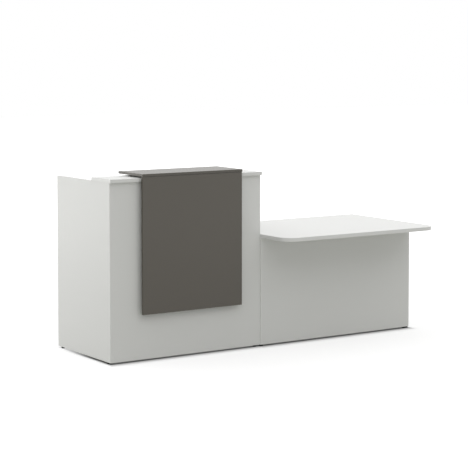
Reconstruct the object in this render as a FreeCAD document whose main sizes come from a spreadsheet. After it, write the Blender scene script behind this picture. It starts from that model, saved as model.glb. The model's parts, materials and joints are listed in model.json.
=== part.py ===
import FreeCAD, Part
import Sketcher
import os
import re

# Reception counter in two modules: a tall one with a shelf and a dark board that folds
# over its front, and a low desk beside it. X runs right along the front, Y runs back
# from the tall front panel, Z runs up from the floor, all in millimetres.

SIZES = {
    # tall module
    "tall_width": 1120,
    "tall_depth": 700,
    "counter_height": 1150,
    "floor_gap": 10,
    "board": 25,
    "shelf_thick": 22,
    "shelf_depth": 245,
    "shelf_front_overhang": 16,
    "shelf_side_overhang": 3,
    "worktop_back_inset": 10,
    # low module
    "desk_height": 740,
    "top_board": 25,
    "low_width": 1254,
    "low_depth": 640,
    "low_proud": 7,
    "desk_depth": 950,
    "desk_overhang": 288,
    "desk_end_overhang": 8,
    "desk_corner": 98,
    # dark accent
    "accent_from_left": 210,
    "accent_width": 742,
    "accent_board": 16,
    "accent_depth": 304,
    "accent_bottom": 296,
    "accent_gap": 10,
    "accent_front_gap": 8,
    "accent_lip": 2,
    "accent_groove_high": 4,
    "accent_groove_deep": 4,
    "packer_inset": 45,
    "standoff_across": 24,
    "standoff_inset": 80,
    "standoff_drop": 160,
    "accent_screw_bite": 10,
    "accent_screw_inset": 45,
    "accent_dowel": 6,
    "accent_dowel_long": 22,
    "accent_dowel_rise": 9,
    # edge banding
    "edge_band": 2,
    "band_arris": 1,
    # screws and angle brackets
    "screw_head": 9,
    "screw_head_high": 2.5,
    "screw_shank": 4,
    "bracket_screw_long": 16,
    "bracket_leg": 40,
    "bracket_width": 24,
    "bracket_thick": 2,
    # cam fittings and dowels in the panel joints
    "cam_across": 15,
    "cam_deep": 17,
    "cam_reach": 34,
    "cam_bolt": 6,
    "cam_bolt_bite": 11,
    "dowel": 8,
    "dowel_long": 32,
    "dowel_bite": 12,
    "dowel_pitch": 64,
    # connectors between the modules
    "link_across": 8,
    "link_bolt": 6,
    "link_cap": 15,
    "link_cap_high": 2,
    "link_sleeve_long": 36,
    "link_bolt_long": 30,
    # levelling feet
    "foot_pad": 24,
    "foot_neck": 18,
    "foot_shoulder": 3,
    "foot_arris": 1,
    "foot_stud": 8,
    "stud_embed": 5,
    "stud_reach": 38,
    "insert_across": 12,
    "insert_long": 25,
    "end_foot_inset": 45,
    "front_foot_inset": 37,
    "low_foot_inset": 14,
    # clearances
    "stud_play": 0.3,
    "fixing_play": 0.1,
    "overrun": 1,
}

# Places worked out from the sizes.
PLACES = {
    "shelf_underside": "counter_height - shelf_thick",
    "desk_underside": "desk_height - top_board",
    "worktop_back": "tall_depth - worktop_back_inset",
    "shelf_back": "shelf_depth - shelf_front_overhang",
    "tall_right_inner": "tall_width - board",
    "low_left_inner": "tall_width + board",
    "low_right": "tall_width + low_width",
    "low_right_inner": "low_right - board",
    "low_inner_face": "board - low_proud",
    "low_back": "low_depth - low_proud",
    "desk_front": "0 - low_proud - desk_overhang",
    "desk_back": "desk_front + desk_depth",
    "desk_right": "low_right + desk_end_overhang",
    "accent_right": "accent_from_left + accent_width",
    "accent_underside": "counter_height + accent_gap",
    "accent_inner_face": "0 - shelf_front_overhang - accent_front_gap",
    "accent_board_face": "accent_inner_face - accent_board",
    "accent_board_left": "accent_from_left + accent_lip",
    "accent_board_right": "accent_right - accent_lip",
    "accent_front_face": "accent_board_face - accent_lip",
    "accent_back": "accent_front_face + accent_depth",
    "packer_left": "accent_from_left + packer_inset",
    "packer_right": "accent_right - packer_inset",
    "packer_back": "shelf_back - packer_inset",
    "standoff_long": "0 - accent_inner_face",
    "origin_x": "(desk_right - shelf_side_overhang) / 2",
    "origin_y": "(tall_depth + desk_front) / 2",
}

# How far up a panel its cam fittings sit, and how far along a board its fixings sit.
CAM_HEIGHT_SHARES = (0.15, 0.5, 0.85)
SIDE_FIXING_SHARES = (0.25, 0.75)
FRONT_FIXING_SHARES = (0.3, 0.7)
SHELF_FIXING_SHARES = (0.35, 0.65)
LINK_DEPTH_SHARES = (0.2, 0.8)
LINK_HEIGHT_SHARES = (0.25, 0.75)
ACCENT_FIXING_SHARES = (0.1, 0.5, 0.9)
BRACKET_HOLE_SHARE = 0.6

RIGHT = FreeCAD.Vector(1, 0, 0)
LEFT = FreeCAD.Vector(-1, 0, 0)
BACK = FreeCAD.Vector(0, 1, 0)
FRONT = FreeCAD.Vector(0, -1, 0)
UP = FreeCAD.Vector(0, 0, 1)
DOWN = FreeCAD.Vector(0, 0, -1)

# Turns that lay a flat outline down, stand it up as an end panel, or hang it from its top edge.
LYING = FreeCAD.Rotation()
AS_END = FreeCAD.Rotation(FreeCAD.Vector(1, 1, 1), 120)
HANGING = FreeCAD.Rotation(LEFT, 90)

# The end panels' inner faces, the way out through each, and the panel itself.
TALL_SIDES = (
    ("board", LEFT, "tall_left_end_panel"),
    ("tall_right_inner", RIGHT, "tall_right_end_panel"),
)
LOW_SIDES = (
    ("low_left_inner", LEFT, "low_left_end_panel"),
    ("low_right_inner", RIGHT, "low_right_end_panel"),
)

doc = FreeCAD.newDocument("ReceptionCounter")
sheet = doc.addObject("Spreadsheet::Sheet", "Sizes")
for row, (alias, size) in enumerate(SIZES.items(), start=1):
    sheet.set(f"A{row}", alias)
    sheet.set(f"B{row}", str(size))
    sheet.setAlias(f"B{row}", alias)
doc.recompute()

nodes = []
holes = {}
groups = {}


def sized(words):
    """An expression on the sheet, with the worked-out places written in full."""
    def written(match):
        name = match.group()
        if name in PLACES:
            return f"({sized(PLACES[name])})"
        return f"Sizes.{name}"
    return re.sub(r"[a-z]\w*", written, words)


def number(words):
    """The present value of an expression."""
    return float(sheet.evalExpression(sized(words)))


def bind(item, **sizes):
    """Tie an object's properties to the sheet."""
    for name, words in sizes.items():
        item.setExpression(name, sized(words))


def place(item, base, turn=LYING):
    """Set an object down at a point measured from the tall module's front left corner."""
    item.Placement = FreeCAD.Placement(FreeCAD.Vector(), turn)
    x, y, z = base
    item.setExpression("Placement.Base.x", sized(f"({x}) - origin_x"))
    item.setExpression("Placement.Base.y", sized(f"({y}) - origin_y"))
    item.setExpression("Placement.Base.z", sized(z))


def moved(point, way, distance):
    """A point shifted along one of the six ways."""
    signs = (way.x, way.y, way.z)
    return tuple(f"({at}) + {sign:.0f} * ({distance})" if sign else at for at, sign in zip(point, signs))


def between(low, high, share):
    """A place part of the way from low to high."""
    return f"({low}) + (({high}) - ({low})) * {share}"


def node(item, label):
    """Name an object as one piece of the counter."""
    item.Label = label
    nodes.append(item)
    return item


def box(name, low, high):
    """A block from its lowest to its highest corner."""
    block = doc.addObject("Part::Box", name)
    spans = [f"({far}) - ({near})" for near, far in zip(low, high)]
    bind(block, Length=spans[0], Width=spans[1], Height=spans[2])
    place(block, low)
    return block


def cylinder(name, across, length, base, way):
    """A round bar that starts at base and runs along one of the six ways."""
    bar = doc.addObject("Part::Cylinder", name)
    bind(bar, Radius=f"({across}) / 2", Height=length)
    place(bar, base, FreeCAD.Rotation(UP, way))
    return bar


def combined(kind, name, base, tool):
    """Join or cut two solids."""
    result = doc.addObject(kind, name)
    result.Base = base
    result.Tool = tool
    return result


def tube(name, outer, inner, length, base, way):
    """A round sleeve, bored right through."""
    bore_from = moved(base, way, "0 - overrun")
    body = cylinder(f"{name}_body", outer, length, base, way)
    bore = cylinder(f"{name}_bore", inner, f"{length} + 2 * overrun", bore_from, way)
    return combined("Part::Cut", name, body, bore)


def drill(board, across, depth, mouth, way):
    """Remember a round hole for a board, from its mouth along a way."""
    tools = holes.setdefault(board, [])
    start = moved(mouth, way, "0 - overrun")
    tools.append(cylinder(f"{board}_hole_{len(tools)}", across, f"{depth} + overrun", start, way))


def member(group, solid):
    """Add a solid to a group of like pieces."""
    groups.setdefault(group, []).append(solid)


def drilled(label, blank):
    """Cut a board's remembered holes out of its blank and name it as a piece."""
    tools = holes.pop(label, [])
    if not tools:
        return node(blank, label)
    tool = tools[0]
    if len(tools) > 1:
        tool = doc.addObject("Part::MultiFuse", f"{label}_holes")
        tool.Shapes = tools
    return node(combined("Part::Cut", f"{label}_cut", blank, tool), label)


def body(name):
    """A new empty body."""
    return doc.addObject("PartDesign::Body", name)


def pin_point(sketch, index, way, words):
    """Hold one corner of an outline at its distance from the sketch's axis."""
    if words == "0":
        axis = {"DistanceX": -2, "DistanceY": -1}[way]
        sketch.addConstraint(Sketcher.Constraint("PointOnObject", index, 1, axis))
        return
    held = sketch.addConstraint(Sketcher.Constraint(way, -1, 1, index, 1, number(words)))
    sketch.setExpression(f"Constraints[{held}]", sized(words))


def outline(owner, plane, loops):
    """A sketch of closed straight-sided loops, every corner tied to the sheet."""
    sketch = owner.newObject("Sketcher::SketchObject", f"{owner.Name}_outline")
    support = next(part for part in owner.Origin.OriginFeatures if part.Role == plane)
    sketch.AttachmentSupport = (support, "")
    sketch.MapMode = "FlatFace"
    for loop in loops:
        first = sketch.GeometryCount
        corners = [FreeCAD.Vector(number(x), number(y), 0) for x, y in loop]
        for start, end in zip(corners, corners[1:] + corners[:1]):
            sketch.addGeometry(Part.LineSegment(start, end), False)
        for step, (x, y) in enumerate(loop):
            here = first + step
            following = first + (step + 1) % len(loop)
            sketch.addConstraint(Sketcher.Constraint("Coincident", here, 2, following, 1))
            pin_point(sketch, here, "DistanceX", x)
            pin_point(sketch, here, "DistanceY", y)
    return sketch


def padded(owner, loops, thick):
    """Raise an outline on the body's ground plane to a thickness."""
    sketch = outline(owner, "XY_Plane", loops)
    pad = owner.newObject("PartDesign::Pad", f"{owner.Name}_pad")
    pad.Profile = sketch
    bind(pad, Length=thick)
    doc.recompute()
    return pad


def rounded(owner, base, radius, chosen):
    """Round the edges of a feature that the test picks."""
    names = [f"Edge{i}" for i, edge in enumerate(base.Shape.Edges, start=1) if chosen(edge)]
    fillet = owner.newObject("PartDesign::Fillet", f"{base.Name}_round")
    fillet.Base = (base, names)
    bind(fillet, Radius=radius)
    doc.recompute()
    return fillet


def upright_at(*corners):
    """A test for upright edges that stand at one of the given corners."""
    spots = [FreeCAD.Vector(number(x), number(y), 0) for x, y in corners]

    def chosen(edge):
        ends = [vertex.Point for vertex in edge.Vertexes]
        middle = sum(ends, FreeCAD.Vector()) / len(ends)
        foot = FreeCAD.Vector(middle.x, middle.y, 0)
        upright = len(ends) == 2 and ends[0].sub(ends[1]).cross(UP).Length < Part.Precision.confusion()
        return upright and any(foot.isEqual(spot, Part.Precision.confusion()) for spot in spots)
    return chosen


def outer_rim(feature):
    """A test for the edges round the outside of a plate's two flat faces."""
    rim = []
    for face in feature.Shape.Faces:
        if face.normalAt(0, 0).cross(UP).Length < Part.Precision.confusion():
            rim.extend(face.OuterWire.Edges)
    return lambda edge: any(edge.isSame(other) for other in rim)


def outer_sides(side_places):
    """A test for the flat faces' edges on the outer sides of an open band."""
    sides = [(axis, number(words)) for axis, words in side_places]

    def chosen(edge):
        middle = edge.CenterOfMass
        offsets = [abs(getattr(middle, axis) - at) for axis, at in sides]
        level = edge.BoundBox.ZLength < Part.Precision.confusion()
        return level and min(offsets) < Part.Precision.confusion()
    return chosen


def rectangle(left, front, right, back):
    """The four corners of an outline."""
    return [(left, front), (right, front), (right, back), (left, back)]


def inner_rectangle(wide, deep):
    """The corners of an outline that lies one edge band inside a plate."""
    return rectangle("edge_band", "edge_band", f"{wide} - edge_band", f"{deep} - edge_band")


def ring_band(label, wide, deep, thick, base, corner):
    """The band round all four edges of a plate, with rounded front corners if the plate has them."""
    owner = body(label)
    outer = rectangle("0", "0", wide, deep)
    inner = inner_rectangle(wide, deep)
    last = padded(owner, [outer, inner], thick)
    if corner:
        last = rounded(owner, last, corner, upright_at(outer[0], outer[1]))
        last = rounded(owner, last, f"{corner} - edge_band", upright_at(inner[0], inner[1]))
    rounded(owner, last, "band_arris", outer_rim(last))
    place(owner, base)
    return node(owner, label)


def open_band(label, long, high, thick, base, turn, near_leg=True):
    """The band along a plate's near, outer and far edges, or along the outer and far edges only."""
    inner_long = f"{long} - edge_band"
    inner_high = f"{high} - edge_band"
    near = [("0", inner_high), ("0", high)]
    sides = [("x", long), ("y", high)]
    if near_leg:
        near = [("edge_band", inner_high), ("edge_band", "0"), ("0", "0"), ("0", high)]
        sides.append(("x", "0"))
    corners = near + [(long, high), (long, "0"), (inner_long, "0"), (inner_long, inner_high)]
    owner = body(label)
    pad = padded(owner, [corners], thick)
    rounded(owner, pad, "band_arris", outer_sides(sides))
    place(owner, base, turn)
    return node(owner, label)


def plate(label, wide, deep, thick, low, corner=None):
    """A flat board with its edge band all round."""
    owner = body(f"{label}_blank")
    inner = inner_rectangle(wide, deep)
    pad = padded(owner, [inner], thick)
    if corner:
        rounded(owner, pad, f"{corner} - edge_band", upright_at(inner[0], inner[1]))
    place(owner, low)
    drilled(label, owner)
    ring_band(f"{label}_band", wide, deep, thick, low, corner)


def screw(group, seat, way, length):
    """A pan head screw whose head sits on the seat and whose shank runs along the way."""
    name = f"{group}_{len(groups.get(group, []))}"
    head = cylinder(f"{name}_head", "screw_head", "screw_head_high", seat, way * -1)
    shank = cylinder(f"{name}_shank", "screw_shank", length, seat, way)
    member(group, combined("Part::Fuse", name, head, shank))


def bracket(group, corner, wall_way, wall, top):
    """A steel angle under a board, screwed up into it and sideways into the wall beside it."""
    name = f"{group}_{len(groups.get(group, []))}"
    out = wall_way * -1
    side = UP.cross(out)
    # half a turn has no axis of its own, so it is given one
    turn = FreeCAD.Rotation(UP, 180) if out == LEFT else FreeCAD.Rotation(RIGHT, out)
    edge = moved(corner, side, "0 - bracket_width / 2")
    flat_leg = doc.addObject("Part::Box", f"{name}_flat")
    bind(flat_leg, Length="bracket_leg", Width="bracket_width", Height="bracket_thick")
    place(flat_leg, moved(edge, DOWN, "bracket_thick"), turn)
    wall_leg = doc.addObject("Part::Box", f"{name}_wall")
    bind(wall_leg, Length="bracket_thick", Width="bracket_width", Height="bracket_leg")
    place(wall_leg, moved(edge, DOWN, "bracket_leg"), turn)
    angle = combined("Part::Fuse", f"{name}_angle", flat_leg, wall_leg)
    hole_out = f"bracket_leg * {BRACKET_HOLE_SHARE}"
    hole = "screw_shank + 2 * fixing_play"
    bite = "bracket_screw_long - bracket_thick + fixing_play"
    top_seat = moved(moved(corner, out, hole_out), DOWN, "bracket_thick")
    wall_seat = moved(moved(corner, DOWN, hole_out), out, "bracket_thick")
    cuts = []
    for which, seat, way, board in (("up", top_seat, UP, top), ("in", wall_seat, wall_way, wall)):
        start = moved(seat, way, "0 - overrun")
        cuts.append(cylinder(f"{name}_{which}", hole, "bracket_thick + 2 * overrun", start, way))
        screw("bracket_screws", seat, way, "bracket_screw_long")
        drill(board, hole, bite, moved(seat, way, "bracket_thick"), way)
    tool = combined("Part::Fuse", f"{name}_cuts", *cuts)
    member(group, combined("Part::Cut", name, angle, tool))


def cam_fitting(edge_board, face_board, point, inward, opening):
    """A cam in one board's face that draws on a bolt set into the board it butts against."""
    name = f"cam_{len(groups.get('cam_locks', []))}"
    outward = inward * -1
    bolt_hole = "cam_bolt + 2 * fixing_play"
    bolt_from = moved(point, outward, "cam_bolt_bite")
    bolt = cylinder(f"{name}_bolt", "cam_bolt", "cam_bolt_bite + cam_reach", bolt_from, inward)
    member("cam_bolts", bolt)
    drill(face_board, bolt_hole, "cam_bolt_bite", point, outward)
    drill(edge_board, bolt_hole, "cam_reach + fixing_play", point, inward)
    mouth = moved(moved(point, inward, "cam_reach"), opening, "board / 2")
    drum = cylinder(f"{name}_drum", "cam_across", "cam_deep", mouth, opening * -1)
    slot = cylinder(f"{name}_slot", bolt_hole, "cam_reach + fixing_play", point, inward)
    member("cam_locks", combined("Part::Cut", f"{name}_lock", drum, slot))
    drill(edge_board, "cam_across + 2 * fixing_play", "cam_deep", mouth, opening * -1)


def dowel(edge_board, face_board, point, inward):
    """A wooden dowel glued into one board's edge and a board it butts against."""
    outward = inward * -1
    hole = "dowel + 2 * fixing_play"
    start = moved(point, outward, "dowel_bite")
    name = f"dowel_{len(groups.get('panel_dowels', []))}"
    member("panel_dowels", cylinder(name, "dowel", "dowel_long", start, inward))
    drill(face_board, hole, "dowel_bite", point, outward)
    drill(edge_board, hole, "dowel_long - dowel_bite", point, inward)


def panel_joint(edge_board, face_board, x, y, top, inward, opening):
    """The cams and dowels up one corner, each dowel one pitch above its cam."""
    for share in CAM_HEIGHT_SHARES:
        height = between("floor_gap", top, share)
        cam_fitting(edge_board, face_board, (x, y, height), inward, opening)
        dowel(edge_board, face_board, (x, y, f"{height} + dowel_pitch"), inward)


def module_link(y, z):
    """A capped sleeve and bolt that hold the two modules' end panels together."""
    name = f"link_{len(groups.get('link_bolts', []))}"
    tall_side = ("tall_right_inner", y, z)
    low_side = ("low_left_inner", y, z)
    inner = "link_bolt + 2 * fixing_play"
    hole = "link_across + 2 * fixing_play"
    sleeve = tube(f"{name}_sleeve", "link_across", inner, "link_sleeve_long", tall_side, RIGHT)
    cap = cylinder(f"{name}_sleeve_cap", "link_cap", "link_cap_high", tall_side, LEFT)
    member("link_sleeves", combined("Part::Fuse", f"{name}_sleeve_piece", sleeve, cap))
    shank = cylinder(f"{name}_shank", "link_bolt", "link_bolt_long", low_side, LEFT)
    head = cylinder(f"{name}_head", "link_cap", "link_cap_high", low_side, RIGHT)
    member("link_bolts", combined("Part::Fuse", f"{name}_bolt", shank, head))
    drill("tall_right_end_panel", hole, "board + overrun", tall_side, RIGHT)
    drill("low_left_end_panel", hole, "board + overrun", low_side, LEFT)


def levelling_foot(where, x, y, panel):
    """A moulded pad on a threaded stud, which screws into a sleeve in the panel's lower edge."""
    pad = body(f"foot_{where}_pad")
    radius = "foot_pad / 2"
    socket = "floor_gap - stud_embed"
    profile = [
        ("0", "0"),
        (f"{radius} - foot_arris", "0"),
        (radius, "foot_arris"),
        (radius, "floor_gap - foot_shoulder"),
        ("foot_neck / 2", "floor_gap"),
        ("foot_stud / 2", "floor_gap"),
        ("foot_stud / 2", socket),
        ("0", socket),
    ]
    sketch = outline(pad, "XZ_Plane", [profile])
    turned = pad.newObject("PartDesign::Revolution", f"{pad.Name}_turned")
    turned.Profile = sketch
    turned.ReferenceAxis = (sketch, ["V_Axis"])
    turned.Angle = 360
    place(pad, (x, y, "0"))
    node(pad, pad.Name)
    stud_name = f"foot_{where}_stud"
    stud_long = "stud_embed + stud_reach"
    node(cylinder(stud_name, "foot_stud", stud_long, (x, y, socket), UP), stud_name)
    mouth = (x, y, "floor_gap")
    inner = "foot_stud + 2 * stud_play"
    member("foot_inserts", tube(f"insert_{where}", "insert_across", inner, "insert_long", mouth, UP))
    drill(panel, "insert_across + 2 * fixing_play", "stud_reach + overrun", mouth, UP)


def make_feet():
    """Nine levelling feet, under the panels' lower edges."""
    tall_right_x = "tall_width - board / 2"
    low_left_x = "tall_width + board / 2"
    low_right_x = "low_right - board / 2"
    tall_back_y = "tall_depth - end_foot_inset"
    low_front_y = "low_foot_inset - low_proud"
    low_back_y = "low_back - end_foot_inset"
    front_panel_y = "board / 2"
    low_panel_y = "board / 2 - low_proud"
    levelling_foot("tall_left_front", "board / 2", "end_foot_inset", "tall_left_end_panel")
    levelling_foot("tall_left_back", "board / 2", tall_back_y, "tall_left_end_panel")
    levelling_foot("tall_front_right", "tall_width - front_foot_inset", front_panel_y, "tall_front_panel")
    levelling_foot("tall_right_back", tall_right_x, tall_back_y, "tall_right_end_panel")
    levelling_foot("low_left_front", low_left_x, low_front_y, "low_left_end_panel")
    levelling_foot("low_left_back", low_left_x, low_back_y, "low_left_end_panel")
    levelling_foot("low_front_right", "low_right - front_foot_inset", low_panel_y, "low_front_panel")
    levelling_foot("low_right_front", low_right_x, low_front_y, "low_right_end_panel")
    levelling_foot("low_right_back", low_right_x, low_back_y, "low_right_end_panel")


def make_panel_joints():
    """Cams and dowels where the front panels meet the end panels."""
    tall_middle = "board / 2"
    low_middle = "board / 2 - low_proud"
    tall_right_middle = "tall_width - board / 2"
    panel_joint("tall_front_panel", "tall_left_end_panel", "board", tall_middle,
                "shelf_underside", RIGHT, BACK)
    panel_joint("tall_right_end_panel", "tall_front_panel", tall_right_middle, "board",
                "shelf_underside", BACK, LEFT)
    for x, way, end_board in LOW_SIDES:
        panel_joint("low_front_panel", end_board, x, low_middle, "desk_underside", way * -1, BACK)


def make_brackets():
    """Angle brackets under the staff worktop, the desktop and the shelf."""
    for share in SIDE_FIXING_SHARES:
        y = between("board", "worktop_back", share)
        for x, way, wall in TALL_SIDES:
            bracket("worktop_brackets", (x, y, "desk_underside"), way, wall, "staff_worktop")
        y = between("low_inner_face", "low_back", share)
        for x, way, wall in LOW_SIDES:
            bracket("desktop_brackets", (x, y, "desk_underside"), way, wall, "low_desktop")
    for share in FRONT_FIXING_SHARES:
        corner = (between("board", "tall_right_inner", share), "board", "desk_underside")
        bracket("worktop_brackets", corner, FRONT, "tall_front_panel", "staff_worktop")
        corner = (between("low_left_inner", "low_right_inner", share), "low_inner_face", "desk_underside")
        bracket("desktop_brackets", corner, FRONT, "low_front_panel", "low_desktop")
    for share in SHELF_FIXING_SHARES:
        corner = (between("board", "tall_right_inner", share), "board", "shelf_underside")
        bracket("shelf_brackets", corner, FRONT, "tall_front_panel", "counter_shelf")
    for x, way, wall in TALL_SIDES:
        corner = (x, "(board + shelf_back) / 2", "shelf_underside")
        bracket("shelf_brackets", corner, way, wall, "counter_shelf")


def make_accent_fixings():
    """Standoffs behind the dark front board, screws up into the dark top, and dowels between the two."""
    hole = "screw_shank + 2 * fixing_play"
    columns = ("accent_from_left + standoff_inset", "accent_right - standoff_inset")
    for x in columns:
        for z in ("accent_bottom + standoff_inset", "shelf_underside - standoff_drop"):
            name = f"standoff_{len(groups.get('accent_standoffs', []))}"
            face = (x, "0", z)
            member("accent_standoffs", tube(name, "standoff_across", hole, "standoff_long", face, FRONT))
            seat = (x, "board", z)
            screw("accent_standoff_screws", seat, FRONT, "board + standoff_long + accent_screw_bite")
            drill("tall_front_panel", hole, "board + overrun", seat, FRONT)
            inner = (x, "accent_inner_face", z)
            drill("accent_front", hole, "accent_screw_bite + fixing_play", inner, FRONT)
    for share in ACCENT_FIXING_SHARES:
        x = between("packer_left", "packer_right", share)
        for y in ("board + accent_screw_inset", "packer_back - accent_screw_inset"):
            seat = (x, y, "shelf_underside")
            screw("accent_top_screws", seat, UP, "shelf_thick + accent_gap + accent_screw_bite")
            drill("counter_shelf", hole, "shelf_thick + overrun", seat, UP)
            drill("accent_packer", hole, "accent_gap + overrun", (x, y, "counter_height"), UP)
            drill("accent_top", hole, "accent_screw_bite + fixing_play", (x, y, "accent_underside"), UP)
        x = between("accent_from_left", "accent_right", share)
        joint = (x, "accent_inner_face - accent_board / 2", "accent_underside")
        lower = moved(joint, DOWN, "accent_dowel_long - accent_dowel_rise")
        name = f"accent_dowel_{len(groups.get('accent_dowels', []))}"
        member("accent_dowels", cylinder(name, "accent_dowel", "accent_dowel_long", lower, UP))
        bore = "accent_dowel + 2 * fixing_play"
        drill("accent_top", bore, "accent_dowel_rise", joint, UP)
        drill("accent_front", bore, "accent_dowel_long - accent_dowel_rise", joint, DOWN)


def make_links():
    """Connectors through the end panels that stand side by side."""
    for y_share in LINK_DEPTH_SHARES:
        y = between("board", "low_back", y_share)
        for z_share in LINK_HEIGHT_SHARES:
            module_link(y, between("floor_gap", "desk_underside", z_share))


def end_panel(name, left, front, back, top, front_shows):
    """An end panel with its band along the top and back edges, and along a front edge that shows."""
    right = f"{left} + board"
    near = f"{front} + edge_band" if front_shows else front
    blank = box(f"{name}_panel_blank", (left, near, "floor_gap"),
                (right, f"{back} - edge_band", f"{top} - edge_band"))
    drilled(f"{name}_panel", blank)
    open_band(f"{name}_band", f"{back} - ({front})", f"{top} - floor_gap", "board",
              (left, front, "floor_gap"), AS_END, front_shows)


def make_tall_module():
    """End panels, front panel, counter shelf and staff worktop of the tall module."""
    end_panel("tall_left_end", "0", "0", "tall_depth", "shelf_underside", True)
    end_panel("tall_right_end", "tall_right_inner", "board", "tall_depth", "shelf_underside", False)
    front_edge = "tall_width - edge_band"
    drilled("tall_front_panel", box("tall_front_blank", ("board", "0", "floor_gap"),
                                    (front_edge, "board", "shelf_underside")))
    node(box("tall_front_strip", (front_edge, "0", "floor_gap"),
             ("tall_width", "board", "shelf_underside")), "tall_front_band")
    shelf_wide = "tall_width + 2 * shelf_side_overhang"
    shelf_low = ("0 - shelf_side_overhang", "0 - shelf_front_overhang", "shelf_underside")
    plate("counter_shelf", shelf_wide, "shelf_depth", "shelf_thick", shelf_low)
    worktop_edge = "worktop_back - edge_band"
    drilled("staff_worktop", box("staff_worktop_blank", ("board", "board", "desk_underside"),
                                 ("tall_right_inner", worktop_edge, "desk_height")))
    node(box("staff_worktop_strip", ("board", worktop_edge, "desk_underside"),
             ("tall_right_inner", "worktop_back", "desk_height")), "staff_worktop_band")


def make_low_module():
    """End panels, front panel and desktop of the low module."""
    front = "0 - low_proud"
    end_panel("low_left_end", "tall_width", front, "low_back", "desk_underside", True)
    end_panel("low_right_end", "low_right_inner", front, "low_back", "desk_underside", True)
    drilled("low_front_panel", box("low_front_blank", ("low_left_inner", front, "floor_gap"),
                                   ("low_right_inner", "low_inner_face", "desk_underside")))
    plate("low_desktop", "low_width + desk_end_overhang", "desk_depth", "top_board",
          ("tall_width", "desk_front", "desk_underside"), corner="desk_corner")


def make_accent():
    """The dark top, the dark front board under its lip and the packer that lifts the top off the shelf."""
    plate("accent_top", "accent_width", "accent_depth", "accent_board",
          ("accent_from_left", "accent_front_face", "accent_underside"))
    front_blank = box("accent_front_blank",
                      ("accent_board_left + edge_band", "accent_board_face", "accent_bottom + edge_band"),
                      ("accent_board_right - edge_band", "accent_inner_face", "accent_underside"))
    groove = box("accent_groove",
                 ("accent_board_left", "accent_board_face - overrun", "accent_underside - accent_groove_high"),
                 ("accent_board_right", "accent_board_face + accent_groove_deep", "accent_underside + overrun"))
    holes["accent_front"].append(groove)
    drilled("accent_front", front_blank)
    open_band("accent_front_band", "accent_width - 2 * accent_lip", "accent_underside - accent_bottom",
              "accent_board", ("accent_board_left", "accent_board_face", "accent_underside"), HANGING)
    packer = box("accent_packer_blank", ("packer_left", "0", "counter_height"),
                 ("packer_right", "packer_back", "accent_underside"))
    drilled("accent_packer", packer)


def make_groups():
    """Gather like pieces, each still a solid of its own, under one name."""
    for label, solids in groups.items():
        gathered = doc.addObject("Part::Compound", label)
        gathered.Links = solids
        node(gathered, label)


def check_and_write():
    """Write every piece, once the whole document is sound."""
    doc.recompute()
    for item in doc.Objects:
        if "Invalid" in item.State or "Error" in item.State:
            raise RuntimeError(f"{item.Label} did not build: {item.State}")
    if holes:
        raise RuntimeError(f"holes left over for {sorted(holes)}")
    for item in nodes:
        if item.Shape.isNull() or not item.Shape.isValid():
            raise RuntimeError(f"{item.Label} has no sound shape")
    os.makedirs("parts", exist_ok=True)
    for item in nodes:
        item.Shape.exportStep(f"parts/{item.Label}.step")
    print(len(nodes), "pieces written")


make_feet()
make_panel_joints()
make_brackets()
make_accent_fixings()
make_links()
make_tall_module()
make_low_module()
make_accent()
make_groups()
check_and_write()
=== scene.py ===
import json
import math

import bmesh
import bpy
from bpy.props import FloatProperty, FloatVectorProperty, IntProperty, PointerProperty
from bpy.types import Operator, Panel, PropertyGroup
from mathutils import Matrix, Vector

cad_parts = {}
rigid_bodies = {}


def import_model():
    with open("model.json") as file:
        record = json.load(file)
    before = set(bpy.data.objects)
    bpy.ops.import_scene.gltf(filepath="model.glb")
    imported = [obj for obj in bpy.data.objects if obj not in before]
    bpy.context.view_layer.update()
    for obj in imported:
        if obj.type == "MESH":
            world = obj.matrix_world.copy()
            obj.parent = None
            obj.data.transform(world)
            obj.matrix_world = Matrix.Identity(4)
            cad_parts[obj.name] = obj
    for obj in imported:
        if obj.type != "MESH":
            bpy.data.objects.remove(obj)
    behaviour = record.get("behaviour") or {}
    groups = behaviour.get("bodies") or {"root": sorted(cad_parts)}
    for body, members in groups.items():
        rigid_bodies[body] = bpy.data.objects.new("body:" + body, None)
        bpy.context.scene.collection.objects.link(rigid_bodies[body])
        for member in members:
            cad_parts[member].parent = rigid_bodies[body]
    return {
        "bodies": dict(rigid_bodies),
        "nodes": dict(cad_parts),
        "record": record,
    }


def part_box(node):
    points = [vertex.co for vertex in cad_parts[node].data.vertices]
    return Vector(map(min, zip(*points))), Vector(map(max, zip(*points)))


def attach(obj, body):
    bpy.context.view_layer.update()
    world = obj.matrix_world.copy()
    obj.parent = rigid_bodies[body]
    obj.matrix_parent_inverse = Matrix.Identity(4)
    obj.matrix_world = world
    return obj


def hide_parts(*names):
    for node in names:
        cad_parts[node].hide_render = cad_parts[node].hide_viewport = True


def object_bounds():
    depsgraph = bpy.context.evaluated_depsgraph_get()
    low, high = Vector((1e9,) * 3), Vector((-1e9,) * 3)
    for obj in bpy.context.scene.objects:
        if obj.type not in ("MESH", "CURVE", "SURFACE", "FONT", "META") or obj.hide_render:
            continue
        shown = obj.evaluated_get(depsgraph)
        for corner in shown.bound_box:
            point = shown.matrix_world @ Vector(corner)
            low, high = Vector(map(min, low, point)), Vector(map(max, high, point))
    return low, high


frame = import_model()
CAD_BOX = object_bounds()

bl_info = {
    "name": "Reception counter finish",
    "version": (1, 0, 0),
    "blender": (4, 5, 0),
    "location": "View3D > Sidebar > Counter",
    "description": "Board finishes, detailed fittings and a studio for a reception counter in two modules",
    "category": "Object",
}

MILLIMETRE = 0.001
WELD_DISTANCE = 1e-6
SHARP_ANGLE = math.radians(35)
GOLDEN_TURN = math.pi * (3 - math.sqrt(5))

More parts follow.
